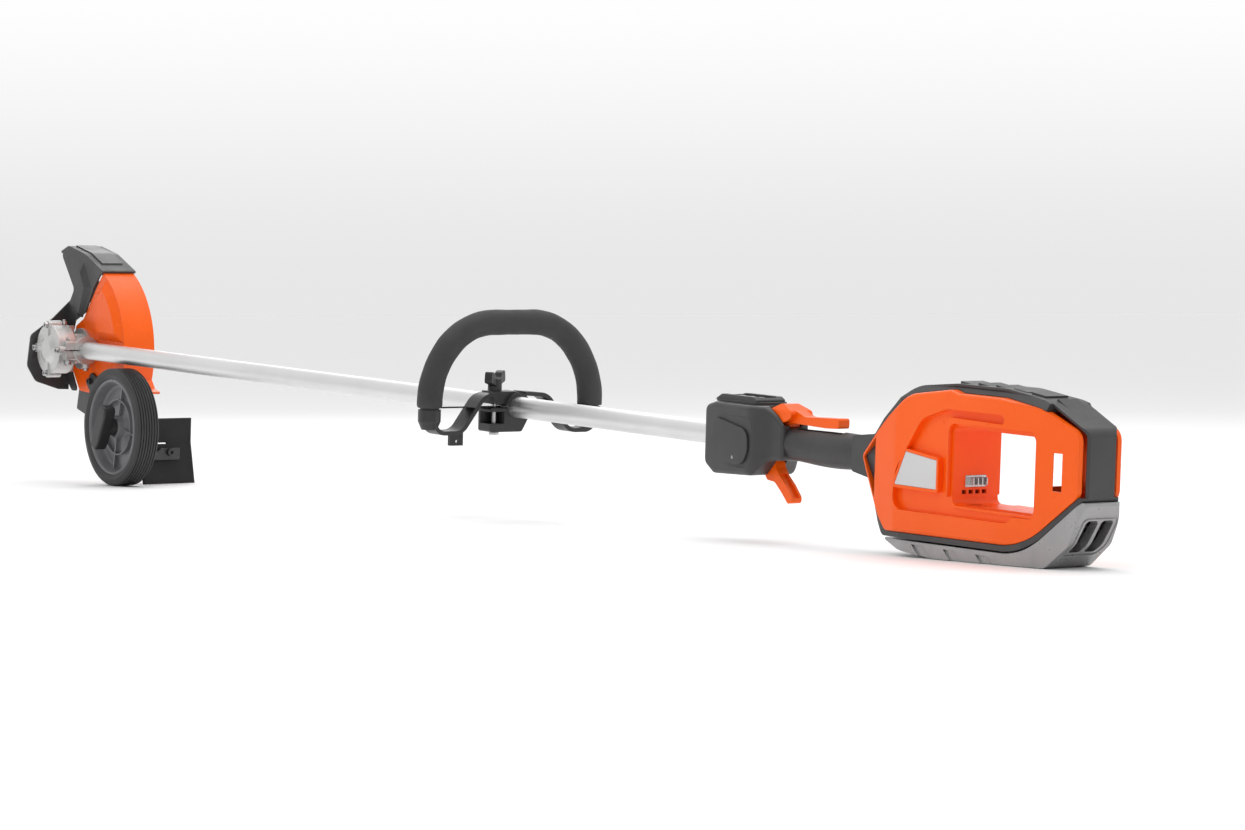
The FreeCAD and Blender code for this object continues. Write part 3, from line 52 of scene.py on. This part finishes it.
# ---------------------------------------------------------------- materials
class Shader:
    """A short way to wire one node tree."""

    def __init__(self, name):
        self.material = bpy.data.materials.new(name)
        self.material.use_nodes = True
        self.tree = self.material.node_tree
        self.bsdf = self.tree.nodes["Principled BSDF"]
        self.coords = self.node("ShaderNodeTexCoord").outputs["Object"]

    def node(self, kind, **settings):
        made = self.tree.nodes.new(kind)
        for key, value in settings.items():
            setattr(made, key, value)
        return made

    def link(self, a, b):
        self.tree.links.new(a, b)

    def noise(self, scale, detail=4.0, rough=0.55, stretch=(1, 1, 1)):
        mapping = self.node("ShaderNodeMapping")
        mapping.inputs["Scale"].default_value = stretch
        self.link(self.coords, mapping.inputs["Vector"])
        made = self.node("ShaderNodeTexNoise")
        made.inputs["Scale"].default_value = scale
        made.inputs["Detail"].default_value = detail
        made.inputs["Roughness"].default_value = rough
        self.link(mapping.outputs["Vector"], made.inputs["Vector"])
        return made.outputs["Fac"]

    def remap(self, value, low, high, out_low, out_high):
        made = self.node("ShaderNodeMapRange")
        for n, number in enumerate((low, high, out_low, out_high), start=1):
            made.inputs[n].default_value = number
        self.link(value, made.inputs[0])
        return made.outputs[0]

    def mix(self, factor, a, b):
        made = self.node("ShaderNodeMix", data_type="RGBA")
        for socket, value in ((made.inputs[0], factor), (made.inputs[6], a), (made.inputs[7], b)):
            if isinstance(value, (tuple, list, float)):
                socket.default_value = value
            else:
                self.link(value, socket)
        return made.outputs[2]

    def edge(self, radius, gain):
        """1 on sharp edges and 0 elsewhere, with the rounded normal that shows it."""
        bevel = self.node("ShaderNodeBevel", samples=4)
        bevel.inputs["Radius"].default_value = radius
        normal = self.node("ShaderNodeNewGeometry").outputs["Normal"]
        dot = self.node("ShaderNodeVectorMath", operation="DOT_PRODUCT")
        self.link(bevel.outputs[0], dot.inputs[0])
        self.link(normal, dot.inputs[1])
        return self.remap(dot.outputs["Value"], 1.0, 1.0 - gain, 0.0, 1.0), bevel.outputs[0]

    def bump(self, height, strength, distance, normal=None):
        made = self.node("ShaderNodeBump")
        made.inputs["Strength"].default_value = strength
        made.inputs["Distance"].default_value = distance
        self.link(height, made.inputs["Height"])
        if normal is not None:
            self.link(normal, made.inputs["Normal"])
        return made.outputs["Normal"]


def rgb(r, g, b, scale=1.0):
    return (r * scale, g * scale, b * scale, 1.0)


def finish(name, colour, rough, metal=0.0, coat=0.0, grain=(900.0, 0.06, 0.00012), vary=0.12, wear=0.35,
           stretch=(1, 1, 1), round_edges=0.0009, rough_vary=0.08, specular=0.5):
    """A surface with uneven colour, rubbed edges, a fine grain and a soft unevenness."""
    s = Shader(name)
    blotch = s.noise(9.0, 5.0, 0.6)
    fine = s.noise(grain[0], 3.0, 0.6, stretch)
    base = rgb(*colour)
    dark = rgb(*colour, 1.0 - vary)
    light = tuple(min(1.0, c * (1.0 + vary) + 0.004) for c in colour) + (1.0,)
    tone = s.mix(s.remap(blotch, 0.35, 0.68, 0.0, 1.0), dark, light)
    edge, rounded = s.edge(round_edges, 0.25)
    worn = tuple(min(1.0, c * 1.35 + 0.03) for c in colour) + (1.0,)
    scratched = s.remap(s.noise(160.0, 4.0, 0.7), 0.42, 0.62, 0.0, wear)
    amount = s.node("ShaderNodeMath", operation="MULTIPLY")
    s.link(edge, amount.inputs[0])
    s.link(scratched, amount.inputs[1])
    s.link(s.mix(amount.outputs[0], tone, worn), s.bsdf.inputs["Base Color"])
    s.link(s.remap(s.noise(30.0, 6.0, 0.65, stretch), 0.3, 0.7, rough - rough_vary, rough + rough_vary),
           s.bsdf.inputs["Roughness"])
    s.link(s.bump(fine, grain[1], grain[2], rounded), s.bsdf.inputs["Normal"])
    s.bsdf.inputs["Metallic"].default_value = metal
    s.bsdf.inputs["Coat Weight"].default_value = coat
    s.bsdf.inputs["Coat Roughness"].default_value = 0.12
    s.bsdf.inputs["Specular IOR Level"].default_value = specular
    return s.material


ORANGE = (1.0, 0.118, 0.001)
# one finish for each material slot of the record
SURFACES = {
    "cast_aluminium": finish("cast_aluminium", (0.62, 0.62, 0.61), 0.42, metal=0.7,
                             grain=(700.0, 0.35, 0.0004), vary=0.12),
    "tube_aluminium": finish("tube_aluminium", (0.7, 0.7, 0.7), 0.42, metal=1.0, grain=(400.0, 0.1, 0.0001),
                             vary=0.03, stretch=(0.03, 1, 1), round_edges=0.0003),
    "gear_steel": finish("gear_steel", (0.3, 0.3, 0.31), 0.35, metal=1.0),
    "blade_steel": finish("blade_steel", (0.4, 0.4, 0.41), 0.33, metal=1.0),
    "dark_steel": finish("dark_steel", (0.028, 0.028, 0.03), 0.38, coat=0.1, wear=0.6),
    "plated_steel": finish("plated_steel", (0.5, 0.5, 0.5), 0.28, metal=1.0),
    "orange_paint": finish("orange_paint", ORANGE, 0.3, coat=0.15, grain=(500.0, 0.08, 0.0002), vary=0.05,
                           wear=0.2, specular=0.25),
    "orange_plastic": finish("orange_plastic", ORANGE, 0.34, coat=0.06, grain=(900.0, 0.05, 0.0001),
                             vary=0.04, wear=0.12, specular=0.22),
    "dark_plastic": finish("dark_plastic", (0.042, 0.042, 0.043), 0.45, grain=(1500.0, 0.22, 0.0002)),
    "black_plastic": finish("black_plastic", (0.017, 0.017, 0.018), 0.42, grain=(1500.0, 0.2, 0.0002)),
    "grey_plastic": finish("grey_plastic", (0.17, 0.172, 0.178), 0.34, grain=(1200.0, 0.15, 0.0002)),
    "silver_plastic": finish("silver_plastic", (0.34, 0.34, 0.34), 0.3, metal=0.5,
                             grain=(1200.0, 0.12, 0.0002)),
    "strip_grey": finish("strip_grey", (0.075, 0.075, 0.077), 0.4, grain=(1200.0, 0.12, 0.0002)),
    "label": finish("label", (0.62, 0.63, 0.64), 0.35, grain=(1200.0, 0.05, 0.0001), vary=0.03),
    "black_paint": finish("black_paint", (0.03, 0.03, 0.031), 0.38, coat=0.15),
    "tyre_rubber": finish("tyre_rubber", (0.03, 0.03, 0.031), 0.6, grain=(900.0, 0.3, 0.0003), wear=0.5),
    "flap_rubber": finish("flap_rubber", (0.009, 0.009, 0.009), 0.6, grain=(700.0, 0.35, 0.0003),
                          specular=0.35),
    "foam": finish("foam", (0.036, 0.036, 0.037), 0.72, grain=(1300.0, 0.7, 0.0005)),
    "grip_rubber": finish("grip_rubber", (0.034, 0.034, 0.035), 0.5, grain=(1600.0, 0.4, 0.0003)),
    "copper": finish("copper", (0.6, 0.27, 0.12), 0.35, metal=1.0),
    "board_green": finish("board_green", (0.02, 0.1, 0.04), 0.4),
}
for part in frame["record"]["subparts"]:
    thing = NODES[part["node"]]
    thing.data.materials.clear()
    thing.data.materials.append(SURFACES[part["material_slot"]])


# ---------------------------------------------------------------- soft pieces
def rounded_path(corners, step=0.06):
    """Points along straight runs and tangent arcs through (y, z, corner radius) corners, in millimetres."""
    points = [Vector(corners[0][:2])]
    for n in range(1, len(corners) - 1):
        corner = Vector(corners[n][:2])
        before = (Vector(corners[n - 1][:2]) - corner).normalized()
        after = (Vector(corners[n + 1][:2]) - corner).normalized()
        turn = before.angle(after)
        radius = corners[n][2]
        centre = corner + (before + after).normalized() * radius / math.sin(turn / 2)
        start = corner + before * radius / math.tan(turn / 2) - centre
        end = corner + after * radius / math.tan(turn / 2) - centre
        sweep = start.angle_signed(end)
        steps = max(2, int(abs(sweep) / step))
        for k in range(steps + 1):
            angle = -sweep * k / steps
            points.append(centre + Vector((start.x * math.cos(angle) - start.y * math.sin(angle),
                                           start.x * math.sin(angle) + start.y * math.cos(angle))))
    points.append(Vector(corners[-1][:2]))
    return points


def even_spacing(points, spacing):
    """The same path with points at an even spacing."""
    result, left = [points[0]], 0.0
    for a, b in zip(points, points[1:]):
        length = (b - a).length
        at = spacing - left
        while at < length:
            result.append(a + (b - a) * (at / length))
            at += spacing
        left = length - (at - spacing)
    result.append(points[-1])
    return result


def mesh_piece(name, points, faces, body, slot, smooth=True):
    """A piece from points in the machine frame, in millimetres."""
    mesh = bpy.data.meshes.new(name)
    mesh.from_pydata([MACHINE @ (Vector(p) * MM) for p in points], [], faces)
    mesh.validate()
    for face in mesh.polygons:
        face.use_smooth = smooth
    thing = bpy.data.objects.new(name, mesh)
    bpy.context.scene.collection.objects.link(thing)
    mesh.materials.append(SURFACES[slot])
    bpy.context.view_layer.update()
    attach(thing, body)
    return thing


# the loop handle's bend, as (y, z, corner radius), and the foam sleeve on it
LOOP_X = 1086.0
LOOP_PATH = [(-117, 0, 0), (-117, 40, 100), (-70, 102, 84), (70, 102, 84), (117, 40, 100), (117, 0, 0)]
FOAM_RADIUS, FOAM_BORE = 15.5, 11.6
FOAM_RING_STEP, FOAM_AROUND = 2.2, 40
FOAM_SKIN, FOAM_END_ROUND, FOAM_END_LENGTH = 0.2, 1.6, 3.5


def foam_grip():
    """A foam sleeve with soft ends that swells and shrinks a little along its length."""
    path = even_spacing(rounded_path(LOOP_PATH), FOAM_RING_STEP)
    rings = []
    count = len(path)
    for n, centre in enumerate(path):
        ahead = path[min(n + 1, count - 1)] - path[max(n - 1, 0)]
        normal = Vector((-ahead.y, ahead.x)).normalized()
        end = min(n, count - 1 - n) * FOAM_RING_STEP
        soft = FOAM_RADIUS - FOAM_END_ROUND * max(0.0, 1.0 - end / FOAM_END_LENGTH) ** 2
        swell = 0.16 * math.sin(n * 0.21) + 0.1 * math.sin(n * 0.53 + 1.3)
        rings.append((centre, normal, soft + swell - FOAM_SKIN))
    inner = [(rings[n][0], rings[n][1], FOAM_BORE) for n in (count - 1, 0)]
    points = []
    for centre, normal, radius in rings + inner:
        for k in range(FOAM_AROUND):
            angle = 2 * math.pi * k / FOAM_AROUND
            reach = radius + 0.12 * math.sin(3 * angle + centre.x * 0.03)
            side = reach * math.cos(angle)
            points.append((LOOP_X + reach * math.sin(angle), centre.x + normal.x * side,
                           centre.y + normal.y * side))
    faces = []
    total = len(rings) + len(inner)
    for n in range(total):
        here, after = n * FOAM_AROUND, (n + 1) % total * FOAM_AROUND
        for k in range(FOAM_AROUND):
            turn = (k + 1) % FOAM_AROUND
            faces.append((here + k, here + turn, after + turn, after + k))
    sleeve = mesh_piece("foam_sleeve", points, faces, "loop_handle", "foam")
    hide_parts("foam_grip")


# the rubber sheet, in the machine frame: its edges, its fold, its slit and its mesh
FLAP_NEAR, FLAP_FAR, FLAP_TOP, FLAP_FOLD, FLAP_LOW = 24.0, 107.0, -91.0, -126.0, -184.2
FLAP_X, FLAP_SLOPE, FLAP_HALF_THICK, FLAP_EDGE_THIN = 107.0, 14 / 58, 2.0, 0.55
SLIT_NEAR, SLIT_FAR, SLIT_LOW, SLIT_HIGH = 50, 68, -128.6, -125.9
FLAP_ROWS, FLAP_COLUMNS = 48, 44


def debris_flap():
    """A moulded rubber sheet: it hangs from the slit, bends back at its fold and waves a little."""
    def row_z(i):
        return FLAP_TOP + (FLAP_LOW - FLAP_TOP) * i / FLAP_ROWS

    def column_y(k):
        return FLAP_NEAR + (FLAP_FAR - FLAP_NEAR) * k / FLAP_COLUMNS

    points, faces = [], []
    index = {}
    for outward in (-1, 1):
        for i in range(FLAP_ROWS + 1):
            z = row_z(i)
            blend = min(1.0, max(0.0, (FLAP_FOLD + 6 - z) / 12))
            bend = max(0.0, FLAP_FOLD - z) * FLAP_SLOPE * blend
            for k in range(FLAP_COLUMNS + 1):
                y = column_y(k)
                wave = 0.35 * math.sin(y * 0.11 + z * 0.05) + 0.25 * math.sin(z * 0.13 + 1.0)
                edge = min(i, FLAP_ROWS - i, k, FLAP_COLUMNS - k)
                thin = FLAP_EDGE_THIN if edge == 0 else 0.0
                x = FLAP_X + bend + wave * min(1.0, edge / 3) + outward * (FLAP_HALF_THICK - thin)
                index[outward, i, k] = len(points)
                points.append((x, y, z))
    open_cells = {(i, k) for i in range(FLAP_ROWS) for k in range(FLAP_COLUMNS)
                  if SLIT_NEAR <= column_y(k + 0.5) <= SLIT_FAR
                  and SLIT_LOW <= row_z(i + 0.5) <= SLIT_HIGH}

    def solid(i, k):
        return 0 <= i < FLAP_ROWS and 0 <= k < FLAP_COLUMNS and (i, k) not in open_cells

    for i in range(FLAP_ROWS):
        for k in range(FLAP_COLUMNS):
            if not solid(i, k):
                continue
            near_top, far_top, near_low, far_low = (i, k), (i, k + 1), (i + 1, k), (i + 1, k + 1)
            faces.append([index[1, *corner] for corner in (near_top, far_top, far_low, near_low)])
            faces.append([index[-1, *corner] for corner in (near_top, near_low, far_low, far_top)])
            sides = {(-1, 0): (near_top, far_top), (1, 0): (far_low, near_low),
                     (0, -1): (near_low, near_top), (0, 1): (far_top, far_low)}
            for (down, across), (a, b) in sides.items():
                if not solid(i + down, k + across):
                    faces.append([index[-1, *a], index[-1, *b], index[1, *b], index[1, *a]])
    sheet = mesh_piece("flap_sheet", points, faces, "machine", "flap_rubber")
    sheet.data.update()
    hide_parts("debris_flap")


foam_grip()
debris_flap()


# ---------------------------------------------------------------- room
floor_mesh = bpy.data.meshes.new("floor")
FLOOR_HALF, FLOOR_GAP = 40, 0.0005
floor_corners = [(x * FLOOR_HALF, y * FLOOR_HALF, 0) for x, y in ((-1, -1), (1, -1), (1, 1), (-1, 1))]
floor_mesh.from_pydata(floor_corners, [], [(0, 1, 2, 3)])
floor = bpy.data.objects.new("floor", floor_mesh)
bpy.context.scene.collection.objects.link(floor)
paper = Shader("paper")
tint = paper.mix(paper.noise(1.5), rgb(0.93, 0.93, 0.93), rgb(0.95, 0.95, 0.95))
paper.link(tint, paper.bsdf.inputs["Base Color"])
paper.bsdf.inputs["Roughness"].default_value = 0.9
floor.data.materials.append(paper.material)
floor.location.z = -FLOOR_GAP

bpy.context.scene.view_settings.view_transform = "Standard"
world = bpy.data.worlds.new("world")
bpy.context.scene.world = world
world.use_nodes = True
nodes, links = world.node_tree.nodes, world.node_tree.links
# a studio with one white side: bright beyond the head and the blade side, darker on the opposite side
direction = nodes.new("ShaderNodeTexCoord")
turned = nodes.new("ShaderNodeVectorMath")
turned.operation = "DOT_PRODUCT"
turned.inputs[1].default_value = (-0.7, 0.6, 0.25)
sweep = nodes.new("ShaderNodeValToRGB")
sweep.color_ramp.elements[0].position = 0.3
sweep.color_ramp.elements[0].color = (0.42, 0.42, 0.42, 1)
sweep.color_ramp.elements[1].position = 0.55
sweep.color_ramp.elements[1].color = (1.0, 1.0, 1.0, 1)
spread = nodes.new("ShaderNodeMath")
spread.operation = "MULTIPLY_ADD"
spread.inputs[1].default_value = 0.5
spread.inputs[2].default_value = 0.5
links.new(direction.outputs["Generated"], turned.inputs[0])
links.new(turned.outputs["Value"], spread.inputs[0])
links.new(spread.outputs["Value"], sweep.inputs["Fac"])
links.new(sweep.outputs["Color"], nodes["Background"].inputs["Color"])
# a soft horizon: the sky fades into the floor's own tone
height = nodes.new("ShaderNodeSeparateXYZ")
fade = nodes.new("ShaderNodeMapRange")
fade.interpolation_type = "SMOOTHSTEP"
for socket, value in zip(fade.inputs[1:5], (0.0, 0.09, 0.8, 1.0)):
    socket.default_value = value
links.new(direction.outputs["Generated"], height.inputs[0])
links.new(height.outputs["Z"], fade.inputs[0])
links.new(fade.outputs[0], nodes["Background"].inputs["Strength"])


def softbox(name, at, target, size, power):
    light = bpy.data.lights.new(name, "AREA")
    light.shape = "RECTANGLE"
    light.size, light.size_y = size
    light.energy = power
    thing = bpy.data.objects.new(name, light)
    bpy.context.scene.collection.objects.link(thing)
    thing.location = at
    aim = Vector(target) - Vector(at)
    thing.rotation_euler = aim.to_track_quat("-Z", "Y").to_euler()


softbox("key", (1.6, -2.2, 2.8), (0, 0, 0.1), (3.0, 1.6), 22)
softbox("top", (0.0, 0.6, 3.2), (0, 0, 0), (4.0, 2.0), 45)
softbox("rim", (-2.6, 1.8, 1.8), (0, 0, 0.1), (2.0, 1.2), 12)

# ---------------------------------------------------------------- camera
# its distance past the shaft's front end, its distance to the side, and its height
CAMERA_AT = (4.772 - CENTRE_X, -2.5, 0.27)
yaw, pitch = math.radians(35.88), math.radians(1.85)
forward = Vector((-math.cos(yaw) * math.cos(pitch), math.sin(yaw) * math.cos(pitch), -math.sin(pitch)))
right = Vector((math.sin(yaw), math.cos(yaw), 0.0))
up = right.cross(forward)
camera = bpy.data.objects.new("camera", bpy.data.cameras.new("camera"))
bpy.context.scene.collection.objects.link(camera)
camera.data.sensor_width = 36.0
camera.data.lens = 106.24
camera.data.clip_end = 100.0
camera.matrix_world = Matrix.Translation(CAMERA_AT) @ Matrix((right, up, -forward)).transposed().to_4x4()
bpy.context.scene.camera = camera

bpy.context.view_layer.update()
